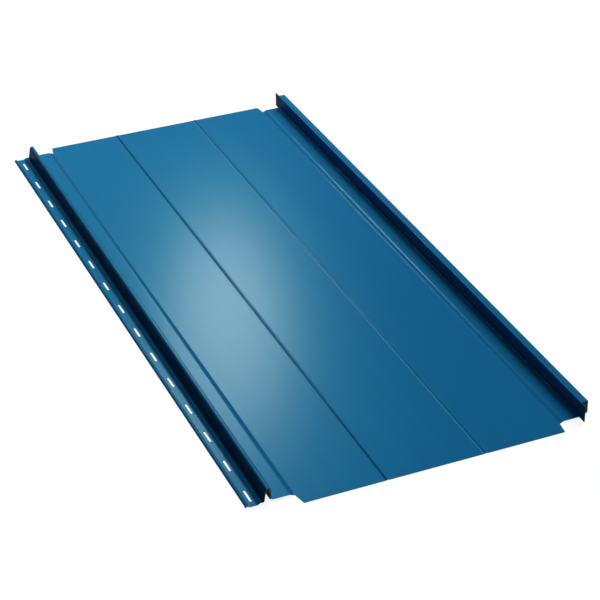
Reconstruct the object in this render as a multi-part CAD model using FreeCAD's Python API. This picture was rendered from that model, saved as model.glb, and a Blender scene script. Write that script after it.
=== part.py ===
import FreeCAD, Part
import math
import os
from FreeCAD import Vector

# Snap-lock standing seam roof panel: one piece of coil-coated steel, roll-formed and end-notched.
# X runs across the panel from the fastening strip (left) to the covering seam (right), Y runs along
# the slope from the eaves end to the ridge end, and Z is up. The origin is under the middle of the panel.
# Sizes are millimetres.

# Sheet and overall sizes
sheet = 0.6            # steel thickness, 24 gauge
cover_width = 437.0    # repeat distance from one seam to the next
panel_length = 1040.0  # over the tongues at both ends
seam_height = 25.0     # underside of the pan to the top of the covering seam
bend = 0.6             # inside radius of a tight roll-formed bend

# Fastening strip, left of the locking rib
hem_width = 5.8        # stiffening hem at the free edge, from its toe to the strip
hem_height = 2.6       # over the flat crest of the hem, which passes under the neighbour's shoulder
hem_crest = 1.0        # width of that crest
hem_toe = 0.25         # the toe stays this far above the deck
strip_width = 10.8     # flat band that holds the slots
ledge_run = 3.0        # slope up to the ledge
ledge_width = 4.6      # ledge that the neighbour's covering edge lies on

# Locking rib and covering seam
shoulder_rise = 2.6    # the pan's shoulders stand this far above its middle
seam_width = 11.4      # over the outside of the covering seam
seam_play = 0.1        # gap on each side of a rib inside its neighbour's seam
crest_play = 3.6       # gap above a rib inside its neighbour's seam
rib_lean = 3.4         # the rib's outer web leans in by this much
rib_neck = 7.4         # width of the rib at its neck, under its head
neck_rise = 2.0        # the neck stands this far above the shoulder
neck_run = 6.0         # slope from the neck down to the shoulder
head_height = 10.0     # the head reaches its full width
head_crease = 1.6      # centreline radius where the neck's slope runs into the head
hook_height = 6.5      # height of the hook's inward crease
hook_depth = 2.3       # the hook reaches in by this much
hook_slope = 1.4       # height of the slope from the outer web into the crease
hook_tip = 4.5         # height of the hook's tip

# Pan
rib_shoulder = 40.8    # from the rib's outer web to the edge of the pan
rib_shoulder_run = 6.8     # slope from that shoulder down to the pan
seam_shoulder = 28.5   # from the edge of the pan to the covering seam's web
seam_shoulder_run = 5.5    # slope from the pan up to that shoulder
bead_inset = 115.5     # stiffening beads, from each edge of the pan
bead_width = 4.4
bead_height = 1.3
crease = 1.5           # centreline radius of the shallow creases

# End notches, the same at the eaves and the ridge
tongue = 18.8          # the pan reaches this far past the seams
rib_side_taper = 3.9   # the tongue's side next to the rib slants in by this much
seam_side_taper = 2.9  # the tongue's side next to the covering seam slants in by this much
web_tab = 12.4         # the covering seam's web, with its two bends, reaches this far past its top

# Slots in the fastening strip
slot_count = 15
slot_pitch = 68.2
slot_length = 24.0
slot_width = 3.0
first_slot = 40.6      # from the eaves end of the tongue to the first slot

# Heights of the sheet's middle layer
half = sheet / 2
pan_mid = half
shoulder_mid = shoulder_rise + half
ledge_mid = shoulder_mid - sheet      # the neighbour's shoulder lies on the ledge, one sheet higher
seam_mid = seam_height - half
rib_mid = seam_mid - sheet - crest_play
tight = bend + half

# Places across the panel, measured from the toe of the hem
strip_start = hem_width
ledge_start = strip_start + strip_width
rib_start = ledge_start + ledge_run + ledge_width
web_spacing = cover_width - sheet - seam_play
pan_start = rib_start + rib_shoulder
seam_start = rib_start + web_spacing
pan_end = seam_start - seam_shoulder
overall_width = seam_start + seam_width
rib_width = seam_width - 2 * sheet - 2 * seam_play
head_radius = (rib_width - rib_lean) / 2 - half


def section_path():
    """Corners of the sheet's middle layer from the hem to the hook, each with its bend radius."""
    path = [
        (half, hem_toe + half, 0),
        ((hem_width - hem_crest) / 2, hem_height - half, tight),
        ((hem_width + hem_crest) / 2, hem_height - half, tight),
        (strip_start - half, pan_mid, tight),
        (ledge_start, pan_mid, tight),
        (ledge_start + ledge_run, ledge_mid, tight),
    ]
    path += rib_path()
    path += [
        (pan_start - rib_shoulder_run, shoulder_mid, crease),
        (pan_start, pan_mid, crease),
    ]
    path += bead_path(pan_start + bead_inset)
    path += bead_path(pan_end - bead_inset)
    path += [
        (pan_end, pan_mid, crease),
        (pan_end + seam_shoulder_run, shoulder_mid, crease),
    ]
    path += seam_path()
    return path


def rib_path():
    """The locking rib: leaning web, round head, and a neck under the head on the pan's side."""
    web = rib_start + half
    head = rib_start + rib_width - half
    neck = rib_start + rib_neck - half
    return [
        (web, ledge_mid, tight),
        (web + rib_lean, rib_mid, head_radius),
        (head, rib_mid, head_radius),
        (head, head_height, head_crease),
        (neck, shoulder_mid + neck_rise, tight),
        (neck + neck_run, shoulder_mid, crease),
    ]


def bead_path(middle):
    """A raised stiffening bead in the pan."""
    return [
        (middle - bead_width / 2, pan_mid, crease),
        (middle, pan_mid + bead_height, tight),
        (middle + bead_width / 2, pan_mid, crease),
    ]


def seam_path():
    """The covering seam: upright web, flat top, and an outer web that ends in the snap hook."""
    web = seam_start + half
    outer = seam_start + seam_width - half
    return [
        (web, shoulder_mid, tight),
        (web, seam_mid, tight),
        (outer, seam_mid, tight),
        (outer, hook_height + hook_slope, tight),
        (outer - hook_depth, hook_height, tight),
        (outer, hook_tip, 0),
    ]


def bent_sheet(path, thickness):
    """The flat face of a bent sheet: its middle layer follows the path, with an arc at each corner."""
    points = [Vector(x, 0, z) for x, z, radius in path]
    radii = [radius for x, z, radius in path]
    upper, lower = [], []
    last = points[0]
    for i in range(1, len(points)):
        along = (points[i] - points[i - 1]).normalize()
        side = Vector(-along.z, 0, along.x) * (thickness / 2)
        if i == len(points) - 1:
            stop = points[i]
        else:
            onward = (points[i + 1] - points[i]).normalize()
            turn = math.acos(max(-1.0, min(1.0, along.dot(onward))))
            stop = points[i] - along * (radii[i] * math.tan(turn / 2))
        upper.append(Part.LineSegment(last + side, stop + side))
        lower.append(Part.LineSegment(last - side, stop - side))
        if i < len(points) - 1:
            next_side = Vector(-onward.z, 0, onward.x) * (thickness / 2)
            inward = (onward - along).normalize()
            centre = points[i] + inward * (radii[i] / math.cos(turn / 2))
            last = points[i] + onward * (radii[i] * math.tan(turn / 2))
            upper.append(bend_arc(centre, stop + side, last + next_side, inward))
            lower.append(bend_arc(centre, stop - side, last - next_side, inward))
    first_side = upper[0].StartPoint - lower[0].StartPoint
    edges = [curve.toShape() for curve in upper + lower]
    edges.append(Part.LineSegment(lower[0].StartPoint, lower[0].StartPoint + first_side).toShape())
    edges.append(Part.LineSegment(lower[-1].EndPoint, upper[-1].EndPoint).toShape())
    return Part.Face(Part.Wire(Part.__sortEdges__(edges)))


def bend_arc(centre, start, end, inward):
    """One side of a bend: the arc from start to end about centre, bulging against inward."""
    radius = (start - centre).Length
    return Part.Arc(start, centre - inward * radius, end)


def end_cutters():
    """What the notching die removes at the eaves end, in section coordinates with Y from that end."""
    low, tall, out = -1.0, seam_height + 2, 1.0
    web_foot = seam_start - bend
    web_side = seam_start + sheet + bend
    rib_side = notch_prism(-out, -out, pan_start, pan_start + rib_side_taper, low, tall)
    seam_side = notch_prism(web_foot, web_foot, pan_end, pan_end - seam_side_taper, low, tall)
    top_side = Part.makeBox(overall_width - web_side + out, tongue + out, tall, Vector(web_side, -out, low))
    tab_end = Part.makeBox(web_side - web_foot, tongue - web_tab + out, tall, Vector(web_foot, -out, low))
    return [rib_side, seam_side, top_side, tab_end]


def notch_prism(far_x, far_tip_x, root_x, tip_x, low, tall):
    """An upright prism between two sides that run from the notch's root out past the sheet's end."""
    beyond = 1.0
    past = root_x + (tip_x - root_x) * (tongue + beyond) / tongue
    outline = Part.makePolygon([
        Vector(far_tip_x, -beyond, low),
        Vector(past, -beyond, low),
        Vector(root_x, tongue, low),
        Vector(far_x, tongue, low),
        Vector(far_tip_x, -beyond, low),
    ])
    return Part.Face(outline).extrude(Vector(0, 0, tall))


def slot_cutter(middle_x, middle_y):
    """A round-ended slot that runs along the panel."""
    radius = slot_width / 2
    straight = (slot_length - slot_width) / 2
    low, height = -1.0, hem_height + 2
    bar = Part.makeBox(slot_width, 2 * straight, height, Vector(middle_x - radius, middle_y - straight, low))
    for end in (-straight, straight):
        bar = bar.fuse(Part.makeCylinder(radius, height, Vector(middle_x, middle_y + end, low)))
    return bar.removeSplitter()


def roof_panel():
    """The whole panel, standing on its underside with the origin under its middle."""
    blank = bent_sheet(section_path(), sheet).extrude(Vector(0, panel_length, 0))
    cutters = end_cutters()
    for cutter in end_cutters():
        cutters.append(cutter.mirror(Vector(0, panel_length / 2, 0), Vector(0, 1, 0)))
    slot_x = strip_start + strip_width / 2
    for i in range(slot_count):
        cutters.append(slot_cutter(slot_x, first_slot + i * slot_pitch))
    panel = blank.cut(cutters)
    panel.translate(Vector(-panel.BoundBox.Center.x, -panel_length / 2, 0))
    return panel


os.makedirs("parts", exist_ok=True)
panel = roof_panel()
panel.exportStep("parts/roof_panel.step")
box = panel.BoundBox
print("solids", len(panel.Solids), "valid", panel.isValid(), "faces", len(panel.Faces))
print("x", round(box.XMin, 3), round(box.XMax, 3), "y", round(box.YMin, 3), round(box.YMax, 3),
      "z", round(box.ZMin, 3), round(box.ZMax, 3), "volume", round(panel.Volume, 1))
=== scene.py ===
import bmesh
import bpy
import math
from mathutils import Matrix, Vector


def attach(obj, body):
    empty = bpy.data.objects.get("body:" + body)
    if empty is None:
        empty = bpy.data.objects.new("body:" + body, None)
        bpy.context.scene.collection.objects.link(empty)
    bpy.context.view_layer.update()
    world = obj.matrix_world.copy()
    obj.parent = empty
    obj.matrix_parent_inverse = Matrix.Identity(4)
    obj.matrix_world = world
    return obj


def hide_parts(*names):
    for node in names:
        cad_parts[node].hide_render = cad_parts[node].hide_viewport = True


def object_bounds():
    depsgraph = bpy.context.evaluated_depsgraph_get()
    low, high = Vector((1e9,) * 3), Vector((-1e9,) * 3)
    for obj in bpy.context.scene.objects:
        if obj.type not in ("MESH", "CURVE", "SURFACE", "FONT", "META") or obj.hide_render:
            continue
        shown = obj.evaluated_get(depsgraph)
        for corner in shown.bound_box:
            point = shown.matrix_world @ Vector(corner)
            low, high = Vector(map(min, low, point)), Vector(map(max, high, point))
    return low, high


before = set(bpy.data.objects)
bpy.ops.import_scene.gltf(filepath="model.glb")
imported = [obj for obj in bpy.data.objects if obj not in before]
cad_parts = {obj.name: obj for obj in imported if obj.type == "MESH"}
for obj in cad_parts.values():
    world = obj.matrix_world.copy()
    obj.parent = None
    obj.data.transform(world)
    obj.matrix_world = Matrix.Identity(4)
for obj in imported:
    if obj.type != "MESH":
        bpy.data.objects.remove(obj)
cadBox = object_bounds()
mm = 0.001


def editMesh():
    return bmesh.from_edit_mesh(bpy.context.edit_object.data)


def pick(kind, test):
    # selects only the points, edges or faces that pass the test
    bpy.ops.mesh.select_all(action="DESELECT")
    bpy.ops.mesh.select_mode(type=kind)
    mesh = editMesh()
    parts = {"VERT": mesh.verts, "EDGE": mesh.edges, "FACE": mesh.faces}[kind]
    for part in parts:
        if test(part):
            part.select_set(True)
    mesh.select_flush_mode()
    bmesh.update_edit_mesh(bpy.context.edit_object.data)


def useModifier(piece, name, kind, **settings):
    modifier = piece.modifiers.new(name, kind)
    for key, value in settings.items():
        setattr(modifier, key, value)
    bpy.ops.object.select_all(action="DESELECT")
    bpy.context.view_layer.objects.active = piece
    piece.select_set(True)
    bpy.ops.object.modifier_apply(modifier=name)


def newMaterial(name):
    material = bpy.data.materials.new(name)
    material.use_nodes = True
    nodes, links = material.node_tree.nodes, material.node_tree.links
    return material, nodes, links, nodes["Principled BSDF"]


# how the noise of the coats is made: alongCoil draws the streaks out along the panel, and low and high
# are the part of the noise that is spread over a material's own range
coatSkin = {"rippleDetail": 3.0, "rippleRoughness": 0.55, "streakDetail": 4.0, "alongCoil": 0.02,
            "low": 0.3, "high": 0.7}


def coatTexture():
    # the faint skin of a roller-applied coil coating: pinhead ripples and a long drift along the coil
    group = bpy.data.node_groups.new("coatTexture", "ShaderNodeTree")
    face = group.interface
    face.new_socket("Position", in_out="INPUT", socket_type="NodeSocketVector")
    face.new_socket("Ripple Size", in_out="INPUT", socket_type="NodeSocketFloat")
    face.new_socket("Streak Size", in_out="INPUT", socket_type="NodeSocketFloat")
    face.new_socket("Ripple", in_out="OUTPUT", socket_type="NodeSocketFloat")
    face.new_socket("Streak", in_out="OUTPUT", socket_type="NodeSocketFloat")
    nodes, links = group.nodes, group.links
    start = nodes.new("NodeGroupInput")
    end = nodes.new("NodeGroupOutput")
    ripple = nodes.new("ShaderNodeTexNoise")
    ripple.inputs["Detail"].default_value = coatSkin["rippleDetail"]
    ripple.inputs["Roughness"].default_value = coatSkin["rippleRoughness"]
    stretch = nodes.new("ShaderNodeVectorMath")
    stretch.operation = "MULTIPLY"
    stretch.inputs[1].default_value = (1.0, coatSkin["alongCoil"], 1.0)
    streak = nodes.new("ShaderNodeTexNoise")
    streak.inputs["Detail"].default_value = coatSkin["streakDetail"]
    links.new(start.outputs["Position"], ripple.inputs["Vector"])
    links.new(start.outputs["Ripple Size"], ripple.inputs["Scale"])
    links.new(start.outputs["Position"], stretch.inputs[0])
    links.new(stretch.outputs[0], streak.inputs["Vector"])
    links.new(start.outputs["Streak Size"], streak.inputs["Scale"])
    links.new(ripple.outputs["Fac"], end.inputs["Ripple"])
    links.new(streak.outputs["Fac"], end.inputs["Streak"])
    return group


def coatNodes(nodes, links, group, rippleSize, streakSize):
    place = nodes.new("ShaderNodeTexCoord")
    coat = nodes.new("ShaderNodeGroup")
    coat.node_tree = group
    coat.inputs["Ripple Size"].default_value = rippleSize
    coat.inputs["Streak Size"].default_value = streakSize
    links.new(place.outputs["Object"], coat.inputs["Position"])
    return place, coat


def spread(nodes, links, source, low, high):
    remap = nodes.new("ShaderNodeMapRange")
    remap.inputs["From Min"].default_value = coatSkin["low"]
    remap.inputs["From Max"].default_value = coatSkin["high"]
    remap.inputs["To Min"].default_value = low
    remap.inputs["To Max"].default_value = high
    links.new(source, remap.inputs["Value"])
    return remap.outputs["Result"]


def addRipple(nodes, links, shader, coat, strength, depth):
    bump = nodes.new("ShaderNodeBump")
    bump.inputs["Strength"].default_value = strength
    bump.inputs["Distance"].default_value = depth
    links.new(coat.outputs["Ripple"], bump.inputs["Height"])
    links.new(bump.outputs["Normal"], shader.inputs["Normal"])


def blend(nodes, links, source, colourA, colourB):
    mix = nodes.new("ShaderNodeMix")
    mix.data_type = "RGBA"
    mix.inputs["A"].default_value = (*colourA, 1)
    mix.inputs["B"].default_value = (*colourB, 1)
    links.new(source, mix.inputs["Factor"])
    return mix.outputs["Result"]


def creaseMask():
    # 1 inside one crease that runs the length of the panel, fading out at its sides
    group = bpy.data.node_groups.new("creaseMask", "ShaderNodeTree")
    face = group.interface
    for label in ("Across", "Middle", "Half Width", "Soft Edge"):
        face.new_socket(label, in_out="INPUT", socket_type="NodeSocketFloat")
    face.new_socket("Mask", in_out="OUTPUT", socket_type="NodeSocketFloat")
    nodes, links = group.nodes, group.links
    start = nodes.new("NodeGroupInput")
    end = nodes.new("NodeGroupOutput")
    away = nodes.new("ShaderNodeMath")
    away.operation = "SUBTRACT"
    size = nodes.new("ShaderNodeMath")
    size.operation = "ABSOLUTE"
    limit = nodes.new("ShaderNodeMath")
    limit.operation = "ADD"
    fade = nodes.new("ShaderNodeMapRange")
    fade.inputs["To Min"].default_value = 1.0
    fade.inputs["To Max"].default_value = 0.0
    links.new(start.outputs["Across"], away.inputs[0])
    links.new(start.outputs["Middle"], away.inputs[1])
    links.new(away.outputs[0], size.inputs[0])
    links.new(start.outputs["Half Width"], limit.inputs[0])
    links.new(start.outputs["Soft Edge"], limit.inputs[1])
    links.new(size.outputs[0], fade.inputs["Value"])
    links.new(start.outputs["Half Width"], fade.inputs["From Min"])
    links.new(limit.outputs[0], fade.inputs["From Max"])
    links.new(fade.outputs["Result"], end.inputs["Mask"])
    return group


def creases(nodes, links, place, group, rows):
    # how strongly shade or highlight is painted into the coat at each place across the panel
    across = nodes.new("ShaderNodeSeparateXYZ")
    links.new(place.outputs["Object"], across.inputs["Vector"])
    most = None
    for middle, halfWidth, strength in rows:
        crease = nodes.new("ShaderNodeGroup")
        crease.node_tree = group
        crease.inputs["Middle"].default_value = middle
        crease.inputs["Half Width"].default_value = halfWidth
        crease.inputs["Soft Edge"].default_value = topCoat["creaseEdge"]
        links.new(across.outputs["X"], crease.inputs["Across"])
        share = nodes.new("ShaderNodeMath")
        share.operation = "MULTIPLY"
        share.inputs[1].default_value = strength
        links.new(crease.outputs["Mask"], share.inputs[0])
        if most is None:
            most = share.outputs[0]
        else:
            larger = nodes.new("ShaderNodeMath")
            larger.operation = "MAXIMUM"
            links.new(most, larger.inputs[0])
            links.new(share.outputs[0], larger.inputs[1])
            most = larger.outputs[0]
    return most


# painted shade rows and painted highlight rows: place across the panel, half width, and how strongly the shade or
# highlight is painted there
topCoat = {
    "blue": (0.0050, 0.112, 0.261), "blueDeep": (0.0044, 0.106, 0.250),
    # the third colour is painted shade and the fourth is painted highlight, laid along the creases by the rows below
    "bluePaintedShade": (0.0010, 0.044, 0.100), "bluePaintedHighlight": (0.12, 0.34, 0.56),
    # painted shade along the hem, beside the rib's crest, on the step slope beside the rib and on both beads
    "paintedShade": [(-232.3 * mm, 0.4 * mm, 0.9), (-203.9 * mm, 0.7 * mm, 0.7), (-174.4 * mm, 2.2 * mm, 0.5),
               (-56.8 * mm, 1.3 * mm, 0.8), (80.0 * mm, 1.0 * mm, 0.4)],
    # painted highlight along the right bead's foot and along the fold at the foot of the covering seam's web
    "paintedHighlight": [(77.0 * mm, 0.2 * mm, 0.3), (223.7 * mm, 0.2 * mm, 1.0)],
    "creaseEdge": 0.7 * mm, "roughness": (0.215, 0.229), "specular": 0.006,
    "rippleSize": 900.0, "streakSize": 60.0, "bump": 0.02, "bumpDepth": 0.02 * mm,
}


def makeTopCoat(group):
    material, nodes, links, shader = newMaterial("blueTopCoat")
    place, coat = coatNodes(nodes, links, group, topCoat["rippleSize"], topCoat["streakSize"])
    tone = spread(nodes, links, coat.outputs["Streak"], 0.0, 1.0)
    plain = blend(nodes, links, tone, topCoat["blue"], topCoat["blueDeep"])
    mask = creaseMask()
    # darkens the coat where shade is painted and lightens it where highlights are painted
    for name, colour in (("paintedShade", "bluePaintedShade"), ("paintedHighlight", "bluePaintedHighlight")):
        mix = nodes.new("ShaderNodeMix")
        mix.data_type = "RGBA"
        mix.inputs["B"].default_value = (*topCoat[colour], 1)
        links.new(creases(nodes, links, place, mask, topCoat[name]), mix.inputs["Factor"])
        links.new(plain, mix.inputs["A"])
        plain = mix.outputs["Result"]
    links.new(plain, shader.inputs["Base Color"])
    links.new(spread(nodes, links, coat.outputs["Ripple"], *topCoat["roughness"]), shader.inputs["Roughness"])
    addRipple(nodes, links, shader, coat, topCoat["bump"], topCoat["bumpDepth"])
    shader.inputs["Specular IOR Level"].default_value = topCoat["specular"]
    return material


backCoat = {
    "grey": (0.075, 0.082, 0.078), "greyWarm": (0.105, 0.108, 0.098),
    "roughness": (0.48, 0.6), "specular": 0.25,
    "rippleSize": 700.0, "streakSize": 90.0, "bump": 0.05, "bumpDepth": 0.03 * mm,
}


def makeBackCoat(group):
    material, nodes, links, shader = newMaterial("greyBackCoat")
    place, coat = coatNodes(nodes, links, group, backCoat["rippleSize"], backCoat["streakSize"])
    tone = spread(nodes, links, coat.outputs["Streak"], 0.0, 1.0)
    links.new(blend(nodes, links, tone, backCoat["grey"], backCoat["greyWarm"]), shader.inputs["Base Color"])
    links.new(spread(nodes, links, coat.outputs["Ripple"], *backCoat["roughness"]), shader.inputs["Roughness"])
    addRipple(nodes, links, shader, coat, backCoat["bump"], backCoat["bumpDepth"])
    shader.inputs["Specular IOR Level"].default_value = backCoat["specular"]
    return material


cutEdge = {"steel": (0.03, 0.09, 0.14), "zinc": (0.05, 0.13, 0.19), "roughness": (0.5, 0.62), "metallic": 0.25,
           "rippleSize": 2500.0, "streakSize": 3000.0}


def makeCutEdge(group):
    material, nodes, links, shader = newMaterial("shearedEdge")
    place, coat = coatNodes(nodes, links, group, cutEdge["rippleSize"], cutEdge["streakSize"])
    tone = spread(nodes, links, coat.outputs["Ripple"], 0.0, 1.0)
    links.new(blend(nodes, links, tone, cutEdge["steel"], cutEdge["zinc"]), shader.inputs["Base Color"])
    links.new(spread(nodes, links, coat.outputs["Ripple"], *cutEdge["roughness"]), shader.inputs["Roughness"])
    shader.inputs["Metallic"].default_value = cutEdge["metallic"]
    return material


# the panel is one sheet, folded out from the hem to the hook
panel = {
    "sheet": 0.6 * mm, "length": 1039.97 * mm, "cover": 437 * mm, "height": 25 * mm,
    "bend": 0.6 * mm, "crease": 1.5 * mm, "stepCrease": 6.0 * mm, "stepFoot": 3.0 * mm,
    "foldSegments": 6, "wideSegments": 14, "wideFrom": 2 * mm,   # folds wider than this get more segments
    "smoothAngle": 35, "flatWeight": 90,
}
touching = 0.001 * mm   # points closer than this count as one place
atEnd = 0.01 * mm
hem = {"width": 5.8 * mm, "height": 2.6 * mm, "crest": 1.0 * mm, "toe": 0.25 * mm}
strip = {"width": 10.8 * mm, "rightCrease": 6.0 * mm, "ledgeRun": 3.0 * mm, "ledgeWidth": 4.6 * mm}
rib = {"lean": 3.4 * mm, "neck": 7.4 * mm, "neckRise": 2.0 * mm, "neckRun": 6.0 * mm, "headHeight": 10.0 * mm,
       "headCrease": 1.6 * mm, "crestPlay": 3.6 * mm, "shoulder": 40.8 * mm, "shoulderRun": 6.8 * mm,
       "shoulderRise": 2.6 * mm}
bead = {"inset": 115.5 * mm, "width": 4.4 * mm, "height": 1.3 * mm, "leftFoot": 2.4 * mm, "crown": 3.0 * mm}
seam = {"width": 11.4 * mm, "play": 0.1 * mm, "shoulder": 28.5 * mm, "shoulderRun": 5.5 * mm,
        "hookHeight": 6.5 * mm, "hookDepth": 2.3 * mm, "hookSlope": 1.4 * mm, "hookTip": 4.5 * mm}
notch = {"tongue": 18.8 * mm, "ribSideTaper": 3.9 * mm, "seamSideTaper": 2.9 * mm, "webTab": 12.4 * mm,
         "cornerReach": 1 * mm, "sideReach": 5 * mm}   # how near to its side a point is that moves with the taper
slots = {"count": 15, "pitch": 68.2 * mm, "length": 24 * mm, "width": 3.0 * mm, "first": 40.6 * mm,
         "punchDepth": 6 * mm, "punchSides": 24}

half = panel["sheet"] / 2
tight = panel["bend"] + half
panMid = half
shoulderMid = rib["shoulderRise"] + half
ledgeMid = rib["shoulderRise"] - half
seamMid = panel["height"] - half
ribMid = seamMid - panel["sheet"] - rib["crestPlay"]
ribWidth = seam["width"] - 2 * panel["sheet"] - 2 * seam["play"]
ribStart = hem["width"] + strip["width"] + strip["ledgeRun"] + strip["ledgeWidth"]
panStart = ribStart + rib["shoulder"]
seamStart = ribStart + panel["cover"] - panel["sheet"] - seam["play"]
panEnd = seamStart - seam["shoulder"]
leftOfMiddle = cadBox[1][0] - (seamStart + seam["width"])   # from the hem's toe to the middle of the CAD box


def beadFolds(middle):
    return [(middle - bead["width"] / 2, panMid, bead["leftFoot"]), (middle, panMid + bead["height"], bead["crown"]),
            (middle + bead["width"] / 2, panMid, panel["crease"])]


def sheetFolds():
    # the middle of the sheet at each fold, across and up, with the fold's radius
    headRadius = (ribWidth - rib["lean"]) / 2 - half
    web, head, neck = ribStart + half, ribStart + ribWidth - half, ribStart + rib["neck"] - half
    seamWeb, outer = seamStart + half, seamStart + seam["width"] - half
    folds = [
        (half, hem["toe"] + half, 0),
        ((hem["width"] - hem["crest"]) / 2, hem["height"] - half, tight),
        ((hem["width"] + hem["crest"]) / 2, hem["height"] - half, tight),
        (hem["width"] - half, panMid, tight),
        (hem["width"] + strip["width"], panMid, strip["rightCrease"]),
        (hem["width"] + strip["width"] + strip["ledgeRun"], ledgeMid, tight),
        (web, ledgeMid, tight),
        (web + rib["lean"], ribMid, headRadius),
        (head, ribMid, headRadius),
        (head, rib["headHeight"], rib["headCrease"]),
        (neck, shoulderMid + rib["neckRise"], tight),
        (neck + rib["neckRun"], shoulderMid, panel["crease"]),
        (panStart - rib["shoulderRun"], shoulderMid, panel["stepCrease"]),
        (panStart, panMid, panel["stepFoot"]),
    ]
    folds += beadFolds(panStart + bead["inset"]) + beadFolds(panEnd - bead["inset"])
    folds += [
        (panEnd, panMid, panel["stepFoot"]),
        (panEnd + seam["shoulderRun"], shoulderMid, panel["stepCrease"]),
        (seamWeb, shoulderMid, tight),
        (seamWeb, seamMid, tight),
        (outer, seamMid, tight),
        (outer, seam["hookHeight"] + seam["hookSlope"], tight),
        (outer - seam["hookDepth"], seam["hookHeight"], tight),
        (outer, seam["hookTip"], 0),
    ]
    return [(leftOfMiddle + x, z, radius) for x, z, radius in folds]


def atFold(x, z):
    def test(edge):
        return all(abs(v.co.x - x) < touching and abs(v.co.z - z) < touching for v in edge.verts)
    return test


def foldSheet(folds):
    # a flat strip as wide as the hem's first slope, then each fold is drawn out of the last edge
    (x0, z0, none), (x1, z1, none) = folds[:2]
    bpy.ops.object.select_all(action="DESELECT")
    bpy.ops.mesh.primitive_plane_add(size=1)
    piece = bpy.context.object
    piece.name = "roof_sheet"
    bpy.ops.object.mode_set(mode="EDIT")
    bpy.ops.mesh.select_all(action="SELECT")
    bpy.ops.transform.resize(value=(x1 - x0, panel["length"], 1))
    bpy.ops.transform.translate(value=((x0 + x1) / 2, 0, z0))
    middle = (x0 + x1) / 2
    pick("VERT", lambda v: v.co.x > middle)
    bpy.ops.transform.translate(value=(0, 0, z1 - z0))
    for (xa, za, none), (xb, zb, none) in zip(folds[1:-1], folds[2:]):
        pick("EDGE", atFold(xa, za))
        bpy.ops.mesh.extrude_region_move(TRANSFORM_OT_translate={"value": (xb - xa, 0, zb - za)})
    for before, here, after in zip(folds[:-2], folds[1:-1], folds[2:]):
        roundFold(before, here, after)
    return piece


def roundFold(before, here, after):
    along = Vector((here[0] - before[0], 0, here[1] - before[1]))
    onward = Vector((after[0] - here[0], 0, after[1] - here[1]))
    turn = along.angle(onward)
    pick("EDGE", atFold(here[0], here[1]))
    count = panel["wideSegments"] if here[2] > panel["wideFrom"] else panel["foldSegments"]
    bpy.ops.mesh.bevel(offset_type="OFFSET", offset=here[2] * math.tan(turn / 2), segments=count, profile=0.5,
                       affect="EDGES", clamp_overlap=False)


def notchEnds():
    # both ends: the pan runs out as a tongue, the covering seam's web as a tab, and the rest is cut square
    halfLength = panel["length"] / 2
    square, tabTip = halfLength - notch["tongue"], halfLength - notch["tongue"] + notch["webTab"]
    for y in (-tabTip, -square, square, tabTip):
        bpy.ops.mesh.select_all(action="SELECT")
        bpy.ops.mesh.bisect(plane_co=(0, y, 0), plane_no=(0, 1, 0))
    tongueLeft, tongueRight = leftOfMiddle + panStart, leftOfMiddle + panEnd
    webLeft = leftOfMiddle + seamStart - panel["bend"] - touching
    webRight = leftOfMiddle + seamStart + panel["sheet"] + panel["bend"] + touching

    def isWaste(face):
        middle = face.calc_center_median()
        if abs(middle.y) < square or tongueLeft < middle.x < tongueRight:
            return False
        return abs(middle.y) > tabTip or not webLeft < middle.x < webRight
    pick("FACE", isWaste)
    bpy.ops.mesh.delete(type="FACE")
    for root, taper in ((tongueLeft, notch["ribSideTaper"]), (tongueRight, -notch["seamSideTaper"])):
        pick("VERT", lambda v: abs(v.co.x - root) < notch["cornerReach"] and abs(v.co.y) > halfLength - atEnd)
        bpy.ops.transform.translate(value=(taper, 0, 0))
        pick("VERT", lambda v: abs(v.co.x - root) < notch["sideReach"] and abs(abs(v.co.y) - tabTip) < atEnd)
        bpy.ops.transform.translate(value=(taper * notch["webTab"] / notch["tongue"], 0, 0))


def cutSlots(piece):
    # a punch with round ends, stepped along the fastening strip
    middleX = leftOfMiddle + hem["width"] + strip["width"] / 2
    radius = slots["width"] / 2
    straight = slots["length"] - slots["width"]
    bpy.ops.object.select_all(action="DESELECT")
    bpy.ops.mesh.primitive_cylinder_add(vertices=slots["punchSides"], radius=radius, depth=slots["punchDepth"])
    punch = bpy.context.object
    punch.data.materials.append(bpy.data.materials["shearedEdge"])
    bpy.ops.object.mode_set(mode="EDIT")
    for side in (-1, 1):
        pick("VERT", lambda v: v.co.y * side > touching)
        bpy.ops.transform.translate(value=(0, side * straight / 2, 0))
    bpy.ops.mesh.select_all(action="SELECT")
    bpy.ops.transform.translate(value=(middleX, -panel["length"] / 2 + slots["first"], 0))
    for i in range(slots["count"] - 1):
        bpy.ops.mesh.duplicate_move(TRANSFORM_OT_translate={"value": (0, slots["pitch"], 0)})
    bpy.ops.object.mode_set(mode="OBJECT")
    useModifier(piece, "slots", "BOOLEAN", operation="DIFFERENCE", solver="EXACT", object=punch,
                material_mode="TRANSFER")
    bpy.data.objects.remove(punch)


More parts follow.
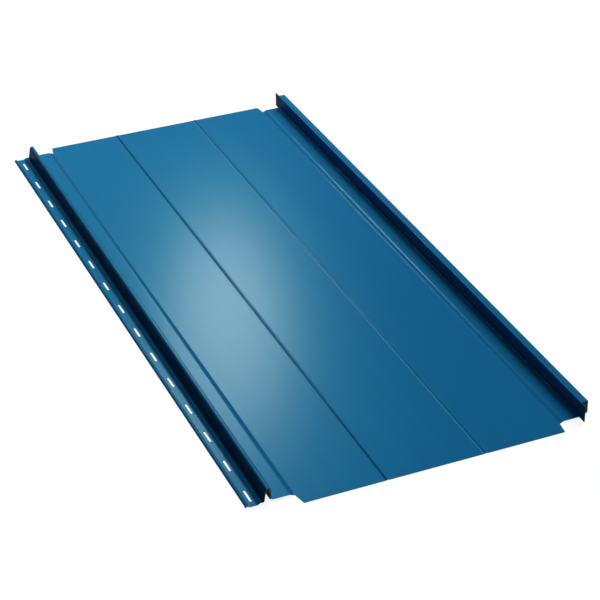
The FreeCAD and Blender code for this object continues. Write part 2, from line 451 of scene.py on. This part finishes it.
def makePanel(materials):
    piece = foldSheet(sheetFolds())
    print("panel folded")
    notchEnds()
    bpy.ops.mesh.select_all(action="SELECT")
    bpy.ops.mesh.normals_make_consistent(inside=False)
    mesh = editMesh()
    upward = sum(face.normal.z * face.calc_area() for face in mesh.faces)
    if upward < 0:
        bpy.ops.mesh.flip_normals()
    bpy.ops.object.mode_set(mode="OBJECT")
    for material in materials:
        piece.data.materials.append(material)
    useModifier(piece, "thickness", "SOLIDIFY", thickness=panel["sheet"], offset=0, use_even_offset=True,
                material_offset=1, material_offset_rim=2)
    print("sheet given its thickness")
    cutSlots(piece)
    print("slots punched")
    bpy.ops.object.select_all(action="DESELECT")
    piece.select_set(True)
    bpy.context.view_layer.objects.active = piece
    bpy.ops.object.shade_smooth_by_angle(angle=math.radians(panel["smoothAngle"]))
    useModifier(piece, "flatNormals", "WEIGHTED_NORMAL", weight=panel["flatWeight"], keep_sharp=True)
    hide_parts("roof_panel")
    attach(piece, "root")
    return piece


texture = coatTexture()
roofSheet = makePanel([makeTopCoat(texture), makeBackCoat(texture), makeCutEdge(texture)])
print("panel done", len(roofSheet.data.polygons), "faces")


studio = {"floorSize": 14.0, "floorGap": 0.15 * mm, "floorPale": 0.16, "floorGlow": 0.88,
          "worldFill": 0.02}


def seenDirectly(nodes, links):
    # 1 for what the camera sees, straight or in a gloss or through glass
    path = nodes.new("ShaderNodeLightPath")
    first = nodes.new("ShaderNodeMath")
    first.operation = "MAXIMUM"
    links.new(path.outputs["Is Camera Ray"], first.inputs[0])
    links.new(path.outputs["Is Glossy Ray"], first.inputs[1])
    second = nodes.new("ShaderNodeMath")
    second.operation = "MAXIMUM"
    links.new(first.outputs[0], second.inputs[0])
    links.new(path.outputs["Is Transmission Ray"], second.inputs[1])
    return second.outputs[0]


def makeFloor():
    bpy.ops.object.select_all(action="DESELECT")
    bpy.ops.mesh.primitive_plane_add(size=studio["floorSize"], location=(0, 0, -studio["floorGap"]))
    floor = bpy.context.object
    floor.name = "floor"
    material = bpy.data.materials.new("paleFloor")
    material.use_nodes = True
    nodes, links = material.node_tree.nodes, material.node_tree.links
    nodes.clear()
    out = nodes.new("ShaderNodeOutputMaterial")
    seen = seenDirectly(nodes, links)
    paint = nodes.new("ShaderNodeBsdfDiffuse")
    paint.inputs["Color"].default_value = (studio["floorPale"],) * 3 + (1,)
    glow = nodes.new("ShaderNodeEmission")
    glow.inputs["Color"].default_value = (1, 1, 1, 1)
    power = nodes.new("ShaderNodeMath")
    power.operation = "MULTIPLY"
    power.inputs[1].default_value = studio["floorGlow"]
    links.new(seen, power.inputs[0])
    links.new(power.outputs[0], glow.inputs["Strength"])
    both = nodes.new("ShaderNodeAddShader")
    links.new(paint.outputs[0], both.inputs[0])
    links.new(glow.outputs[0], both.inputs[1])
    links.new(both.outputs[0], out.inputs["Surface"])
    floor.data.materials.append(material)


def makeWorld():
    world = bpy.data.worlds.new("studioWorld")
    bpy.context.scene.world = world
    world.use_nodes = True
    nodes, links = world.node_tree.nodes, world.node_tree.links
    back = nodes["Background"]
    back.inputs["Color"].default_value = (1, 1, 1, 1)
    level = nodes.new("ShaderNodeMapRange")
    level.inputs["To Min"].default_value = studio["worldFill"]
    level.inputs["To Max"].default_value = 1.0
    links.new(seenDirectly(nodes, links), level.inputs["Value"])
    links.new(level.outputs["Result"], back.inputs["Strength"])


lamps = {
    "glossLamp": {"kind": "AREA", "size": (0.26, 0.46), "place": (0.421, 1.334, 0.988), "aim": (-0.086, -0.06, 0.0),
                  "power": 39.0, "colour": (0.80, 1.0, 0.97), "diffuse": False, "glossy": True},
    "haloLamp": {"kind": "AREA", "size": (0.42, 0.76), "place": (0.421, 1.334, 0.988), "aim": (-0.086, -0.06, 0.0),
                 "power": 15.8, "colour": (0.0, 1.0, 0.75), "diffuse": False, "glossy": True},
    "skyLamp": {"kind": "AREA", "size": (1.0, 2.4), "place": (0.26, 1.5, 1.0), "aim": (0.26, 1.5, 0.0), "power": 70.3,
                "colour": (0.15, 0.93, 1.0), "diffuse": False, "glossy": True},
    "backLamp": {"kind": "AREA", "size": (0.5, 0.5), "place": (0.35, 1.25, 0.9), "aim": (0.0, 0.0, 0.0),
                 "power": 9.0, "colour": (1.0, 1.0, 1.0), "diffuse": True, "glossy": False},
    "softSun": {"kind": "SUN", "spread": 42, "place": (1.0, 0.6, 1.5), "aim": (0.0, 0.0, 0.0), "power": 3.0,
                "colour": (1.0, 1.0, 1.0), "diffuse": True, "glossy": False},
}


def makeLamp(name, lamp):
    light = bpy.data.lights.new(name, lamp["kind"])
    light.energy = lamp["power"]
    light.color = lamp["colour"]
    if lamp["kind"] == "SUN":
        light.angle = math.radians(lamp["spread"])
    else:
        light.shape = "ELLIPSE"
        light.size, light.size_y = lamp["size"]
    holder = bpy.data.objects.new(name, light)
    bpy.context.scene.collection.objects.link(holder)
    holder.location = lamp["place"]
    holder.rotation_euler = (Vector(lamp["aim"]) - Vector(lamp["place"])).to_track_quat("-Z", "Y").to_euler()
    holder.visible_diffuse = lamp["diffuse"]
    holder.visible_glossy = lamp["glossy"]


view = {"place": (-893.07 * mm, -2260.70 * mm, 1431.77 * mm), "turnRight": 0.3947, "tiltDown": 0.5456,
        "roll": -0.0171, "pixelsPerUnit": 1951.09, "frame": 600, "sensor": 36.0, "near": 0.05, "far": 50}


def makeCamera():
    camera = bpy.data.cameras.new("camera")
    camera.sensor_fit = "HORIZONTAL"
    camera.sensor_width = view["sensor"]
    camera.lens = view["pixelsPerUnit"] / view["frame"] * view["sensor"]
    camera.clip_start = view["near"]
    camera.clip_end = view["far"]
    holder = bpy.data.objects.new("camera", camera)
    bpy.context.scene.collection.objects.link(holder)
    turn = (Matrix.Rotation(-view["turnRight"], 4, "Z") @ Matrix.Rotation(math.pi / 2 - view["tiltDown"], 4, "X")
            @ Matrix.Rotation(view["roll"], 4, "Z"))
    holder.matrix_world = Matrix.Translation(view["place"]) @ turn
    bpy.context.scene.camera = holder


makeFloor()
makeWorld()
for name, lamp in lamps.items():
    makeLamp(name, lamp)
makeCamera()
bpy.context.scene.view_settings.view_transform = "Standard"
print("floor, lamps and camera set")
